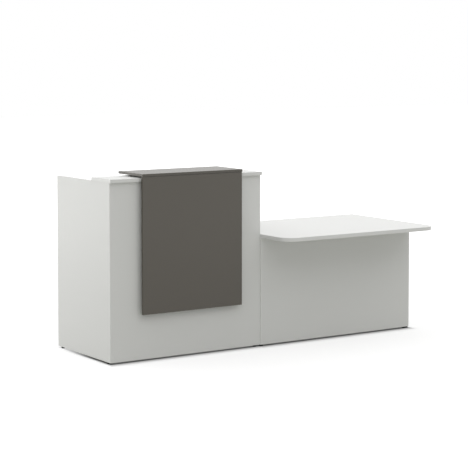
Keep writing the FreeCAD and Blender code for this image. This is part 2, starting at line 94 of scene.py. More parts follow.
# Turned shapes as shares of a radius and of a height, from the top down to the middle of the underside.
PAN_HEAD_SHARES = ((0.62, 0), (0.86, 0.2), (1, 0.6), (1, 1), (0, 1))
CAP_SHARES = ((0.66, 0), (0.88, 0.16), (1, 0.55), (1, 1), (0, 1))
CAM_FACE_SHARES = ((0.93, 0), (1, 0.03), (1, 0.3), (0, 0.3))
CAM_FOOT_SHARES = ((0, 0.72), (1, 0.72), (1, 0.97), (0.93, 1), (0, 1))
CAM_WALL_SHARES = (0.55, 0.98)
CAM_WALL_HEIGHT_SHARES = (0.29, 0.73)
CROSS_ARM_SHARE = 0.52
CROSS_WIDTH_SHARE = 0.1
CROSS_TAPER_SHARE = 0.55
HEX_POCKET_SHARE = 0.36
POCKET_DEPTH_SHARE = 0.75
CAM_POCKET_DEPTH_SHARE = 0.2
# A foot's pad from the middle of its hollow underside, round its ribbed rim and in again over its top.
PAD_SHARES = ((0, 0.06), (0.70, 0.06), (0.76, 0), (0.93, 0), (0.985, 0.035), (1, 0.1),
              (1, 0.55), (0.965, 0.66), (0.85, 0.72), (0, 0.72))
PAD_COLLAR_SHARES = ((0, 0.7), (0.82, 0.7), (0.82, 0.94), (0.76, 1), (0, 1))
HEX_SIDES = 6
BRACKET_HOLE_SHARE = 0.6
BEVEL_SEGMENTS = 2
# Half of the opening in a cam lock's wall.
HOOK_GAP = math.radians(55)

WHITE = (1, 1, 1, 1)
# Features to the metre of the larger patterns in the finishes.
BOARD_DRIFT_SCALE = 1.7
BOARD_FLECK_SCALE = 160.0
PLASTIC_FLOW_SCALE = 38.0
METAL_FILM_SCALE = 70.0
BEECH_LINE_SCALE = 420.0
# How much finer noise lies over a pattern, from a soft one to a crisp one.
SOFT_DETAIL = 2.0
FILM_DETAIL = 3.0
FLECK_DETAIL = 4.0
LINE_DETAIL = 5.0
# How strongly each finish drifts in tone and sheen, how deep its relief looks, and any gloss or metal.
WHITE_FACE = dict(tone_drift=0.02, sheen_drift=0.12, relief=0.05)
GRAPHITE_FACE = dict(tone_drift=0.07, sheen_drift=0.12, relief=0.05)
EDGE_BAND = dict(tone_drift=0.02, sheen_drift=0.15, relief=0.04)
BLACK_PLASTIC = dict(tone_drift=0.25, sheen_drift=0.25, relief=0.3, gloss=0.2)
ZINC_PLATE = dict(tone_drift=0.16, sheen_drift=0.4, relief=0.08, metallic=1.0)
CAST_ZINC = dict(tone_drift=0.16, sheen_drift=0.4, relief=0.25, metallic=1.0)
BEECH_RELIEF = 0.2


def length_property(name, description, size):
    """A length that a user may change."""
    return FloatProperty(name=name, description=description, default=size, min=0,
                         unit="LENGTH", precision=5)


def place_property(name, description, place):
    """A place that a user may change."""
    return FloatVectorProperty(name=name, description=description, default=place, size=3, unit="LENGTH")


def angle_property(name, description, degrees):
    """An angle that a user may change."""
    return FloatProperty(name=name, description=description, default=math.radians(degrees), subtype="ANGLE")


def strength_property(name, description, strength):
    """A strength of light that a user may change."""
    return FloatProperty(name=name, description=description, default=strength, min=0)


def count_property(name, description, count, least):
    """A whole number that a user may change."""
    return IntProperty(name=name, description=description, default=count, min=least)


def colour_property(name, description, colour):
    """A colour that a user may change."""
    return FloatVectorProperty(name=name, description=description, default=colour, size=3,
                               min=0, max=1, subtype="COLOR")


def factor_property(name, description, share):
    """A share from 0 to 1 that a user may change."""
    return FloatProperty(name=name, description=description, default=share, min=0, max=1, subtype="FACTOR")


class CounterFinishes(PropertyGroup):
    """Colours and sheens of the boards and fittings."""

    white: colour_property("White", "Faces of the white boards", (0.80, 0.803, 0.785))
    white_edge: colour_property("White edge", "Bands on the white boards", (0.81, 0.812, 0.795))
    graphite: colour_property("Graphite", "Faces of the dark boards", (0.102, 0.091, 0.073))
    graphite_edge: colour_property("Graphite edge", "Bands on the dark boards", (0.094, 0.084, 0.068))
    plastic: colour_property("Black plastic", "Foot pads and standoffs", (0.012, 0.012, 0.012))
    zinc: colour_property("Zinc plate", "Screws, brackets, studs and bolts", (0.66, 0.67, 0.68))
    cast_zinc: colour_property("Cast zinc", "Cam locks", (0.48, 0.49, 0.50))
    beech: colour_property("Beech", "Dowels", (0.62, 0.45, 0.28))
    beech_dark: colour_property("Beech late wood", "Dark lines in the dowels", (0.46, 0.30, 0.17))
    board_roughness: factor_property("Board roughness", "Sheen of the board faces", 0.38)
    graphite_roughness: factor_property("Graphite roughness", "Sheen of the dark board faces", 0.28)
    edge_roughness: factor_property("Edge roughness", "Sheen of the edge bands", 0.32)
    plastic_roughness: factor_property("Plastic roughness", "Sheen of the moulded plastic", 0.62)
    zinc_roughness: factor_property("Zinc roughness", "Sheen of the plated steel", 0.3)
    cast_roughness: factor_property("Cast roughness", "Sheen of the zinc castings", 0.48)
    beech_roughness: factor_property("Beech roughness", "Sheen of the dowels", 0.6)
    pearl: length_property("Pearl", "Width of the dimples pressed into the board faces", 1.6 * MILLIMETRE)
    moulding: length_property("Moulding grain", "Width of the grain in moulded plastic", 0.7 * MILLIMETRE)
    plating: length_property("Plating grain", "Width of the grain in plated metal", 2 * MILLIMETRE)


class CounterFittings(PropertyGroup):
    """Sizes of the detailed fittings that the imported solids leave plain."""

    head_high: length_property("Screw head", "Height of a screw head", 2.5 * MILLIMETRE)
    screw_shank: length_property("Screw shank", "Outer width of a screw thread", 4 * MILLIMETRE)
    screw_pitch: length_property("Screw pitch", "Rise of a screw thread in one turn", 1.8 * MILLIMETRE)
    screw_tip: length_property("Screw tip", "Length of a screw's point", 4 * MILLIMETRE)
    cap_high: length_property("Cap", "Height of a module connector's cap", 2 * MILLIMETRE)
    link_sleeve: length_property("Link sleeve", "Outer width of a connector's sleeve", 8 * MILLIMETRE)
    link_bolt: length_property("Link bolt", "Outer width of a connector's bolt", 6 * MILLIMETRE)
    link_pitch: length_property("Link pitch", "Rise of a connector's thread in one turn", 1 * MILLIMETRE)
    link_play: length_property("Link play", "Gap round a connector's bolt in its sleeve", 0.1 * MILLIMETRE)
    stud_pitch: length_property("Stud pitch", "Rise of a foot's thread in one turn", 1.25 * MILLIMETRE)
    thread_depth: length_property("Thread depth", "Depth of a metal thread", 0.7 * MILLIMETRE)
    screw_depth: length_property("Screw depth", "Depth of a wood screw's thread", 0.65 * MILLIMETRE)
    pad_ribs: count_property("Pad ribs", "Grip ribs round a foot's pad", 36, 6)
    rib_depth: length_property("Rib depth", "Depth of the grooves between grip ribs", 0.4 * MILLIMETRE)
    bracket_thick: length_property("Bracket", "Thickness of a bracket's steel", 2 * MILLIMETRE)
    bracket_bend: length_property("Bracket bend", "Outer radius of a bracket's bend", 4 * MILLIMETRE)
    bracket_corner: length_property("Bracket corner", "Radius of a bracket's corners", 5 * MILLIMETRE)
    bracket_hole: length_property("Bracket hole", "Width of a bracket's screw holes", 4.4 * MILLIMETRE)
    bracket_bevel: length_property("Bracket edge", "Softening of a bracket's edges", 0.25 * MILLIMETRE)
    standoff_flange: length_property("Standoff flange", "Thickness of a standoff's ends", 3 * MILLIMETRE)
    standoff_waist: length_property("Standoff waist", "How far a standoff draws in", 1.8 * MILLIMETRE)
    standoff_bore: length_property("Standoff bore", "Width of a standoff's hole", 4.2 * MILLIMETRE)
    standoff_arris: length_property("Standoff arris", "Softening of a standoff's ends", 0.4 * MILLIMETRE)
    turned_sides: count_property("Turned sides", "Facets round a turned fitting", 24, 8)
    thread_sides: count_property("Thread sides", "Facets round a thread", 16, 8)
    thread_steps: count_property("Thread steps", "Rings in one turn of a thread or steps in a bend", 6, 4)


class CounterStudio(PropertyGroup):
    """Camera, floor and light."""

    camera_place: place_property("Camera", "Place of the lens", (-5.8786, -8.6868, 1.9743))
    camera_turn: angle_property("Turn", "Turn of the view to the right of straight back", 33.445)
    camera_dip: angle_property("Dip", "Tilt of the view below the horizon", 4.304)
    camera_lens: FloatProperty(name="Lens", description="Focal length in millimetres", default=121.82)
    camera_shift: FloatProperty(name="Shift", description="Lens shift in frame heights", default=-0.15)
    floor_size: length_property("Floor", "Width of the floor", 60)
    floor_colour: colour_property("Floor colour", "Floor as the camera and reflections see it",
                                  (0.58, 0.58, 0.58))
    bounce_colour: colour_property("Bounce colour", "Floor as it sends light back to the counter",
                                   (0.44, 0.445, 0.41))
    floor_glow: factor_property("Floor glow", "Part of the white floor that takes no shadow", 0.54)
    # Painted shade: the floor's glow is withheld under and close to the panels over these reaches, so part
    # of the floor's shadow near the counter is set here and not by the lamps.
    panel_shade: length_property("Panel shade", "Depth under the panels at which the floor is dark", 0.007)
    side_shade: length_property("Side shade", "Reach of the deep shade beside the end panels", 0.035)
    front_shade: length_property("Front shade", "Reach of the deep shade before the front panels", 0.09)
    back_shade: length_property("Back shade", "Depth inside the open back at which the floor is dark", 0.5)
    # Painted contact shadow: the floor's own colour is darkened under and right beside the panels, over
    # this reach and down to this share.
    contact_shade: length_property("Contact shade", "Reach of the shade right beside the panels", 0.01)
    painted_contact_tone: factor_property("Contact light", "Part of the floor's tone left in that shade", 0.5)
    near_floor: length_property("Near floor", "Distance to which the floor shows shadow in full", 2)
    far_floor: length_property("Far floor", "Distance from which the floor is plain white", 6)
    fill: strength_property("Fill", "Strength of the soft light from the horizon", 0.57)
    fill_above: strength_property("Fill above", "Strength of the soft light from straight overhead", 0.2)
    key_place: place_property("Key lamp", "Place of the soft lamp behind on the left", (-3.6, 3.2, 1.4))
    key_size: length_property("Key size", "Width of the lamp behind on the left", 2.5)
    key_power: strength_property("Key power", "Power of that lamp in watts", 33)
    top_light: strength_property("Top light", "Light from overhead in watts a square metre", 1.95)
    top_spread: angle_property("Top spread", "Width of the soft overhead light", 120)


def add_node(tree, kind, inputs=None, **settings):
    """A new node with its settings, and with each input linked to a socket or set to a value."""
    node = tree.nodes.new(kind)
    for name, value in settings.items():
        setattr(node, name, value)
    for name, value in (inputs or {}).items():
        if isinstance(value, bpy.types.NodeSocket):
            tree.links.new(value, node.inputs[name])
        else:
            node.inputs[name].default_value = value
    return node


def math_node(tree, operation, first, second):
    """The result of a calculation with two values."""
    return add_node(tree, "ShaderNodeMath", {0: first, 1: second}, operation=operation).outputs[0]


def seen_directly(tree):
    """One for what the camera sees straight on, in a reflection or through glass, or else nothing."""
    path = tree.nodes.new("ShaderNodeLightPath")
    seen = math_node(tree, "MAXIMUM", path.outputs["Is Camera Ray"], path.outputs["Is Glossy Ray"])
    return math_node(tree, "MAXIMUM", seen, path.outputs["Is Transmission Ray"])


SURFACE_INPUTS = (
    ("Color", "NodeSocketColor"),
    ("Roughness", "NodeSocketFloat"),
    ("Grain Scale", "NodeSocketFloat"),
    ("Tone Drift", "NodeSocketFloat"),
    ("Roughness Drift", "NodeSocketFloat"),
)
SURFACE_OUTPUTS = (
    ("Color", "NodeSocketColor"),
    ("Roughness", "NodeSocketFloat"),
    ("Height", "NodeSocketFloat"),
)


def surface_group(name):
    """An empty surface group, its input node, its output node and the place on the piece."""
    group = bpy.data.node_groups.new(name, "ShaderNodeTree")
    for label, kind in SURFACE_INPUTS:
        group.interface.new_socket(label, in_out="INPUT", socket_type=kind)
    for label, kind in SURFACE_OUTPUTS:
        group.interface.new_socket(label, in_out="OUTPUT", socket_type=kind)
    place = group.nodes.new("ShaderNodeTexCoord").outputs["Object"]
    return group, group.nodes.new("NodeGroupInput"), group.nodes.new("NodeGroupOutput"), place


def noise(tree, coordinates, scale, detail):
    """The factor of a noise texture at so many features to the metre."""
    inputs = {"Vector": coordinates, "Scale": scale, "Detail": detail}
    return add_node(tree, "ShaderNodeTexNoise", inputs).outputs["Fac"]


def around_one(tree, factor, amount):
    """A factor about a half turned into a multiplier about one."""
    offset = math_node(tree, "SUBTRACT", factor, 0.5)
    return math_node(tree, "ADD", math_node(tree, "MULTIPLY", offset, amount), 1.0)


def two_tones(group, given, first, second):
    """The tones of two patterns, one over the other."""
    amount = given.outputs["Tone Drift"]
    return math_node(group, "MULTIPLY", around_one(group, first, amount), around_one(group, second, amount))


def finish_surface(group, given, result, tone, grain):
    """Wire a surface group's tone and grain to its three outputs."""
    colour = add_node(group, "ShaderNodeVectorMath", {0: given.outputs["Color"], "Scale": tone},
                      operation="SCALE")
    drift = around_one(group, grain, given.outputs["Roughness Drift"])
    sheen = math_node(group, "MULTIPLY", given.outputs["Roughness"], drift)
    group.links.new(colour.outputs["Vector"], result.inputs["Color"])
    group.links.new(sheen, result.inputs["Roughness"])
    group.links.new(grain, result.inputs["Height"])


def board_face_group():
    """Pressed board face: fine dimples, with a slow drift and a faint fleck in its tone."""
    group, given, result, place = surface_group("board_face")
    dimples = noise(group, place, given.outputs["Grain Scale"], SOFT_DETAIL)
    drift = noise(group, place, BOARD_DRIFT_SCALE, SOFT_DETAIL)
    fleck = noise(group, place, BOARD_FLECK_SCALE, FLECK_DETAIL)
    finish_surface(group, given, result, two_tones(group, given, drift, fleck), dimples)
    return group


def moulded_group():
    """Moulded or extruded plastic: an even fine grain with soft flow marks."""
    group, given, result, place = surface_group("moulded_plastic")
    grain = noise(group, place, given.outputs["Grain Scale"], FILM_DETAIL)
    flow = noise(group, place, PLASTIC_FLOW_SCALE, SOFT_DETAIL)
    finish_surface(group, given, result, around_one(group, flow, given.outputs["Tone Drift"]), grain)
    return group


def plated_group():
    """Plated metal: small crystals of slightly different tone under a cloudy film."""
    group, given, result, place = surface_group("plated_metal")
    crystals = add_node(group, "ShaderNodeTexVoronoi", {"Vector": place,
                                                        "Scale": given.outputs["Grain Scale"]})
    split = add_node(group, "ShaderNodeSeparateColor", {"Color": crystals.outputs["Color"]})
    film = noise(group, place, METAL_FILM_SCALE, FILM_DETAIL)
    finish_surface(group, given, result, two_tones(group, given, split.outputs["Red"], film), film)
    return group


def shared_group(name, make):
    """A shader group, built the first time that it is asked for."""
    return bpy.data.node_groups.get(name) or make()


def empty_material(name):
    """A new material and its node tree, cleared."""
    material = bpy.data.materials.new(name)
    material.use_nodes = True
    material.node_tree.nodes.clear()
    return material, material.node_tree


def surface_material(slot, group, colour, roughness, grain, tone_drift, sheen_drift, relief,
                     metallic=0.0, gloss=0.5):
    """A slot's material, whose colour, sheen and relief come from a surface group."""
    material, tree = empty_material(f"{slot}_finish")
    surface = add_node(tree, "ShaderNodeGroup", {
        "Color": (*colour, 1), "Roughness": roughness, "Grain Scale": 1 / grain,
        "Tone Drift": tone_drift, "Roughness Drift": sheen_drift}, node_tree=group)
    bump = add_node(tree, "ShaderNodeBump", {"Height": surface.outputs["Height"], "Strength": relief,
                                             "Distance": grain})
    shader = add_node(tree, "ShaderNodeBsdfPrincipled", {
        "Base Color": surface.outputs["Color"], "Roughness": surface.outputs["Roughness"],
        "Normal": bump.outputs["Normal"], "Metallic": metallic, "Specular IOR Level": gloss})
    add_node(tree, "ShaderNodeOutputMaterial", {"Surface": shader.outputs["BSDF"]})
    return material


def board_material(slot, colour, roughness, texture):
    """Melamine-faced board."""
    finishes = bpy.context.scene.counter_finishes
    group = shared_group("board_face", board_face_group)
    return surface_material(slot, group, colour, roughness, finishes.pearl, **texture)


def edge_material(slot, colour):
    """Extruded edge band."""
    finishes = bpy.context.scene.counter_finishes
    group = shared_group("moulded_plastic", moulded_group)
    return surface_material(slot, group, colour, finishes.edge_roughness, finishes.moulding, **EDGE_BAND)


def plastic_material(slot):
    """Black moulded plastic."""
    finishes = bpy.context.scene.counter_finishes
    group = shared_group("moulded_plastic", moulded_group)
    return surface_material(slot, group, finishes.plastic, finishes.plastic_roughness, finishes.moulding,
                            **BLACK_PLASTIC)


def metal_material(slot, colour, roughness, texture):
    """Plated steel or raw casting."""
    finishes = bpy.context.scene.counter_finishes
    group = shared_group("plated_metal", plated_group)
    return surface_material(slot, group, colour, roughness, finishes.plating, **texture)


def beech_material(slot):
    """Beech with short dark late-wood lines."""
    finishes = bpy.context.scene.counter_finishes
    material, tree = empty_material(f"{slot}_finish")
    place = tree.nodes.new("ShaderNodeTexCoord").outputs["Object"]
    lines = noise(tree, place, BEECH_LINE_SCALE, LINE_DETAIL)
    ramp = add_node(tree, "ShaderNodeValToRGB", {"Fac": lines})
    ramp.color_ramp.elements[0].color = (*finishes.beech_dark, 1)
    ramp.color_ramp.elements[1].color = (*finishes.beech, 1)
    bump = add_node(tree, "ShaderNodeBump", {"Height": lines, "Strength": BEECH_RELIEF,
                                             "Distance": MILLIMETRE})
    shader = add_node(tree, "ShaderNodeBsdfPrincipled", {
        "Base Color": ramp.outputs["Color"], "Roughness": finishes.beech_roughness,
        "Normal": bump.outputs["Normal"]})
    add_node(tree, "ShaderNodeOutputMaterial", {"Surface": shader.outputs["BSDF"]})
    return material


def finish_for(slot):
    """The material of one of the record's slots."""
    finishes = bpy.context.scene.counter_finishes
    makers = {
        "white_board": lambda: board_material(slot, finishes.white, finishes.board_roughness, WHITE_FACE),
        "white_edge": lambda: edge_material(slot, finishes.white_edge),
        "graphite_board": lambda: board_material(slot, finishes.graphite, finishes.graphite_roughness,
                                                 GRAPHITE_FACE),
        "graphite_edge": lambda: edge_material(slot, finishes.graphite_edge),
        "black_plastic": lambda: plastic_material(slot),
        "zinc_steel": lambda: metal_material(slot, finishes.zinc, finishes.zinc_roughness, ZINC_PLATE),
        "cast_zinc": lambda: metal_material(slot, finishes.cast_zinc, finishes.cast_roughness, CAST_ZINC),
        "beech": lambda: beech_material(slot),
    }
    return bpy.data.materials.get(f"{slot}_finish") or makers[slot]()


def dress(*slots):
    """Give every node of the slots its finish."""
    for part in frame["record"]["subparts"]:
        if part["material_slot"] in slots:
            node = frame["nodes"][part["node"]]
            for holder in node.material_slots:
                holder.material = finish_for(part["material_slot"])


def loose_parts(node):
    """The points of each separate solid in a node."""
    mesh = bmesh.new()
    mesh.from_mesh(frame["nodes"][node].data)
    bmesh.ops.remove_doubles(mesh, verts=mesh.verts, dist=WELD_DISTANCE)
    parts = []
    seen = set()
    for seed in mesh.verts:
        if seed in seen:
            continue
        seen.add(seed)
        waiting = [seed]
        points = []
        while waiting:
            corner = waiting.pop()
            points.append(corner.co.copy())
            fresh = {edge.other_vert(corner) for edge in corner.link_edges} - seen
            seen |= fresh
            waiting.extend(fresh)
        parts.append(points)
    mesh.free()
    return parts


def span(points):
    """Lowest and highest corner of some points."""
    low = Vector(min(point[axis] for point in points) for axis in range(3))
    high = Vector(max(point[axis] for point in points) for axis in range(3))
    return low, high


def wider_end(points, axis):
    """The way out of the wider end of a turned solid: up its axis or down it."""
    low, high = span(points)
    middle = (low + high) / 2

    def reach(end):
        offsets = [point - middle for point in points if abs(point[axis] - end) < WELD_DISTANCE]
        return max(math.sqrt(offset.length_squared - offset[axis] ** 2) for offset in offsets)

    way = Vector((0, 0, 0))
    way[axis] = 1 if reach(high[axis]) > reach(low[axis]) else -1
    return way


def square_frame(origin, out, towards):
    """A frame with z pointing out and x as near to towards as it can be."""
    side = out.cross(towards).normalized()
    ahead = side.cross(out)
    turn = Matrix((ahead, side, out)).transposed()
    return Matrix.Translation(origin) @ turn.to_4x4()


def turned_places(node):
    """Frames at the outer ends of a node's turned solids, all alike, and their length and radius."""
    places = []
    sizes = []
    for count, points in enumerate(loose_parts(node)):
        low, high = span(points)
        spans = high - low
        axis = max(range(3), key=lambda way: spans[way])
        out = wider_end(points, axis)
        origin = (low + high) / 2 + out * spans[axis] / 2
        roll = Matrix.Rotation(GOLDEN_TURN * count, 4, "Z")
        sideways = Vector((0, 0, 1)) if axis != 2 else Vector((1, 0, 0))
        places.append(square_frame(origin, out, sideways) @ roll)
        sizes.append((spans[axis], min(spans) / 2))
    return places, *sizes[0]


def circle(radius, sides):
    """Points evenly round a circle."""
    turns = [math.tau * step / sides for step in range(sides)]
    return [Vector((radius * math.cos(turn), radius * math.sin(turn))) for turn in turns]


def ring(mesh, radius, height, sides):
    """Points round the upright axis, or the single point where the radius is nothing."""
    if not radius:
        return [mesh.verts.new((0, 0, height))]
    return [mesh.verts.new((x, y, height)) for x, y in circle(radius, sides)]


def join_rings(mesh, first, second):
    """Faces between two rings, or between a ring and the point that closes it."""
    sides = max(len(first), len(second))
    for step in range(sides):
        after = (step + 1) % sides
        corners = (first[step % len(first)], first[after % len(first)],
                   second[after % len(second)], second[step % len(second)])
        mesh.faces.new(dict.fromkeys(corners))


def turn_profile(mesh, profile, sides):
    """A surface turned from (radius, height) points."""
    rings = [ring(mesh, radius, height, sides) for radius, height in profile]
    for first, second in zip(rings, rings[1:]):
        join_rings(mesh, first, second)
    return rings


def sized_profile(shares, radius, height):
    """A profile from shares of its radius and of its height, which is below zero where it hangs."""
    return [(radius * across, height * along) for across, along in shares]


def cross_outline(arm, half_width):
    """The twelve corners of a cross."""
    corner = ((arm, -half_width), (arm, half_width), (half_width, half_width))
    quarter = Matrix.Rotation(math.pi / 2, 2)
    outline = []
    points = [Vector(point) for point in corner]
    for _ in range(4):
        outline.extend(points)
        points = [quarter @ point for point in points]
    return outline


def around(points):
    """Each point with the next, round a loop."""
    return zip(points, points[1:] + points[:1])


def pocketed_head(mesh, profile, outline, depth, taper, sides):
    """A turned head whose flat top has a driver's pocket in it."""
    top = profile[0][1]
    rim = turn_profile(mesh, profile, sides)[0]
    mouth = [mesh.verts.new((x, y, top)) for x, y in outline]
    bottom = [mesh.verts.new((x * taper, y * taper, top - depth)) for x, y in outline]
    edges = [mesh.edges.new(pair) for pair in around(mouth)]
    edges += [mesh.edges.get(pair) for pair in around(rim)]
    bmesh.ops.triangle_fill(mesh, edges=edges, use_beauty=True)
    join_rings(mesh, mouth, bottom)
    mesh.faces.new(bottom)


def threaded_shank(mesh, radius, depth, pitch, top, bottom, tip=0.0):
    """A threaded shank from its top down, with a point where it has a tip."""
    fittings = bpy.context.scene.counter_fittings
    sides = fittings.thread_sides
    rows = round((top - bottom) / pitch * fittings.thread_steps)
    rings = [[mesh.verts.new((0, 0, top))]]
    for row in range(rows + 1):
        height = top + (bottom - top) * row / rows
        left = height - bottom
        narrow = left / tip if left < tip else 1.0
        lead = min(top - height, left) if not tip else top - height
        corners = []
        for step in range(sides):
            phase = (height / pitch - step / sides) % 1
            crest = 1 - abs(2 * phase - 1)
            reach = min(radius - depth + depth * crest, radius - depth + lead) * narrow
            turn = math.tau * step / sides
            corners.append(mesh.verts.new((reach * math.cos(turn), reach * math.sin(turn), height)))
        rings.append(corners)
    rings.append([mesh.verts.new((0, 0, bottom))])
    for first, second in zip(rings, rings[1:]):
        join_rings(mesh, first, second)
    bmesh.ops.remove_doubles(mesh, verts=mesh.verts, dist=WELD_DISTANCE)


def repeated(template, places):
    """One mesh that holds a copy of the template at each place."""
    pattern = bpy.data.meshes.new("pattern")
    template.to_mesh(pattern)
    template.free()
    joined = bmesh.new()
    for place in places:
        first = len(joined.verts)
        joined.from_mesh(pattern)
        joined.verts.ensure_lookup_table()
        bmesh.ops.transform(joined, matrix=place, verts=joined.verts[first:])
    bpy.data.meshes.remove(pattern)
    return joined


def finished_piece(name, mesh, body, slot, *replaced):
    """A mesh as a smooth object that rides on a body and stands for the nodes that it replaces."""
    bmesh.ops.recalc_face_normals(mesh, faces=mesh.faces)
    data = bpy.data.meshes.new(name)
    mesh.to_mesh(data)
    mesh.free()
    data.shade_smooth()
    data.set_sharp_from_angle(angle=SHARP_ANGLE)
    data.materials.append(finish_for(slot))
    item = bpy.data.objects.new(name, data)
    bpy.context.scene.collection.objects.link(item)
    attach(item, body)
    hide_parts(*replaced)
    return item


class COUNTER_OT_white_boards(Operator):
    """Finish the white panels, tops and shelf with their edge bands."""

    bl_idname = "counter.white_boards"
    bl_label = "White boards"

    def execute(self, context):
        dress("white_board", "white_edge")
        return {"FINISHED"}


class COUNTER_OT_graphite_boards(Operator):
    """Finish the dark top, the dark front board and the packer between shelf and top."""

    bl_idname = "counter.graphite_boards"
    bl_label = "Graphite boards"

    def execute(self, context):
        dress("graphite_board", "graphite_edge")
        return {"FINISHED"}


class COUNTER_OT_hidden_fixings(Operator):
    """Finish the dowels, cam bolts and foot sleeves that sit inside the boards."""

    bl_idname = "counter.hidden_fixings"
    bl_label = "Hidden fixings"

    def execute(self, context):
        dress("beech", "zinc_steel", "cast_zinc", "black_plastic")
        return {"FINISHED"}


class COUNTER_OT_feet(Operator):
    """Make the levelling feet: ribbed pads with a hexagon collar, on threaded studs."""

    bl_idname = "counter.feet"
    bl_label = "Levelling feet"

    def execute(self, context):
        fittings = context.scene.counter_fittings
        for body in frame["bodies"]:
            if body.startswith("foot_"):
                self.pad(fittings, body)
                self.stud(fittings, body)
        return {"FINISHED"}

    def pad(self, fittings, body):
        """A pad with grip ribs round its rim and a hexagon collar on top."""
        node = f"{body}_pad"
        low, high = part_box(node)
        radius = (high.x - low.x) / 2
        height = high.z - low.z
        mesh = bmesh.new()
        rings = turn_profile(mesh, sized_profile(PAD_SHARES, radius, height), 2 * fittings.pad_ribs)
        for corners, (across, _) in zip(rings, PAD_SHARES):
            if across == 1:
                for corner in corners[::2]:
                    corner.co.xy *= 1 - fittings.rib_depth / radius
        turn_profile(mesh, sized_profile(PAD_COLLAR_SHARES, radius, height), HEX_SIDES)
        middle = (low + high) / 2
        bmesh.ops.translate(mesh, vec=(middle.x, middle.y, low.z), verts=mesh.verts)
        finished_piece(f"{body}_ribbed_pad", mesh, body, "black_plastic", node)

    def stud(self, fittings, body):
        """A threaded stud that stands in the pad."""
        node = f"{body}_stud"
        low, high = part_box(node)
        middle = (low + high) / 2
        radius = (high.x - low.x) / 2
        mesh = bmesh.new()
        threaded_shank(mesh, radius, fittings.thread_depth, fittings.stud_pitch, high.z, low.z)
        bmesh.ops.translate(mesh, vec=(middle.x, middle.y, 0), verts=mesh.verts)
        finished_piece(f"{body}_threaded_stud", mesh, body, "zinc_steel", node)


class COUNTER_OT_screws(Operator):
    """Make the screws: pan heads with a cross pocket, on pointed threads."""

    bl_idname = "counter.screws"
    bl_label = "Screws"

    def execute(self, context):
        fittings = context.scene.counter_fittings
        for node in ("bracket_screws", "accent_standoff_screws", "accent_top_screws"):
            places, length, radius = turned_places(node)
            mesh = bmesh.new()
            profile = sized_profile(PAN_HEAD_SHARES, radius, -fittings.head_high)
            outline = cross_outline(radius * CROSS_ARM_SHARE, radius * CROSS_WIDTH_SHARE)
            depth = fittings.head_high * POCKET_DEPTH_SHARE
            pocketed_head(mesh, profile, outline, depth, CROSS_TAPER_SHARE, fittings.turned_sides)
            threaded_shank(mesh, fittings.screw_shank / 2, fittings.screw_depth, fittings.screw_pitch,
                           -fittings.head_high, -length, fittings.screw_tip)
            finished_piece(f"{node}_threaded", repeated(mesh, places), "counter", "zinc_steel", node)
        return {"FINISHED"}


class COUNTER_OT_brackets(Operator):
    """Make the angle brackets: bent steel strips with round corners and screw holes."""

    bl_idname = "counter.brackets"
    bl_label = "Angle brackets"

    def execute(self, context):
        fittings = context.scene.counter_fittings
        for node in ("worktop_brackets", "desktop_brackets", "shelf_brackets"):
            parts = loose_parts(node)
            low, high = span(parts[0])
            leg = high.z - low.z
            width = min(high.x - low.x, high.y - low.y)
            places = [self.corner(points) for points in parts]
            joined = repeated(self.bent_strip(fittings, leg, width), places)
            item = finished_piece(f"{node}_bent", joined, "counter", "zinc_steel", node)
            softened = item.modifiers.new("soft_edges", "BEVEL")
            softened.width = fittings.bracket_bevel
            softened.segments = BEVEL_SEGMENTS
            softened.limit_method = "ANGLE"
        return {"FINISHED"}

    def corner(self, points):
        """A frame in the corner that a bracket fills, with x along its level leg and z up."""
        low, high = span(points)
        axis = 0 if high.x - low.x > high.y - low.y else 1
        lowest = [point[axis] for point in points if point.z - low.z < WELD_DISTANCE]
        at_low_side = max(lowest) < (low[axis] + high[axis]) / 2
        out = Vector((0, 0, 0))
        out[axis] = 1 if at_low_side else -1
        origin = (low + high) / 2
        origin[axis] = low[axis] if at_low_side else high[axis]
        origin.z = high.z
        return square_frame(origin, Vector((0, 0, 1)), out)

    def bent_strip(self, fittings, leg, width):
        """A flat strip with its holes, thickened and then bent square."""
        bend = fittings.bracket_bend
        flat = leg - bend
        curve = bend * math.pi / 2
        total = 2 * flat + curve
        mesh = bmesh.new()
        edges = self.loop(mesh, self.rounded_strip(total, width, fittings.bracket_corner))
        inset = leg * (1 - BRACKET_HOLE_SHARE)
        for along in (inset, total - inset):
            rim = circle(fittings.bracket_hole / 2, fittings.turned_sides)
            edges += self.loop(mesh, [Vector((along, 0)) + point for point in rim])
        bmesh.ops.triangle_fill(mesh, edges=edges, use_beauty=True)
        for step in range(fittings.thread_steps + 1):
            cut = Vector((flat + curve * step / fittings.thread_steps, 0, 0))
            geometry = mesh.verts[:] + mesh.edges[:] + mesh.faces[:]
            bmesh.ops.bisect_plane(mesh, geom=geometry, plane_co=cut, plane_no=(1, 0, 0))
        raised = bmesh.ops.extrude_face_region(mesh, geom=mesh.faces[:], use_keep_orig=True)["geom"]
        fresh = [item for item in raised if isinstance(item, bmesh.types.BMVert)]
        bmesh.ops.translate(mesh, vec=(0, 0, fittings.bracket_thick), verts=fresh)
        for corner in mesh.verts:
            along, across, deep = corner.co
            if along <= flat:
                corner.co = (leg - along, across, -deep)
            elif along >= flat + curve:
                corner.co = (deep, across, -bend - (along - flat - curve))
            else:
                turn = (along - flat) / bend
                reach = bend - deep
                corner.co = (bend - reach * math.sin(turn), across, -bend + reach * math.cos(turn))
        return mesh

    def loop(self, mesh, points):
        """The edges of a closed outline."""
        corners = [mesh.verts.new((x, y, 0)) for x, y in points]
        return [mesh.edges.new(pair) for pair in around(corners)]

    def rounded_strip(self, length, width, radius):
        """The outline of a strip with round corners."""
        outline = []
        centres = ((length - radius, width / 2 - radius), (radius, width / 2 - radius),
                   (radius, radius - width / 2), (length - radius, radius - width / 2))
        steps = bpy.context.scene.counter_fittings.thread_steps
        for quarter, centre in enumerate(centres):
            for step in range(steps + 1):
                turn = math.pi / 2 * (quarter + step / steps)
                outline.append(Vector(centre) + radius * Vector((math.cos(turn), math.sin(turn))))
        return outline


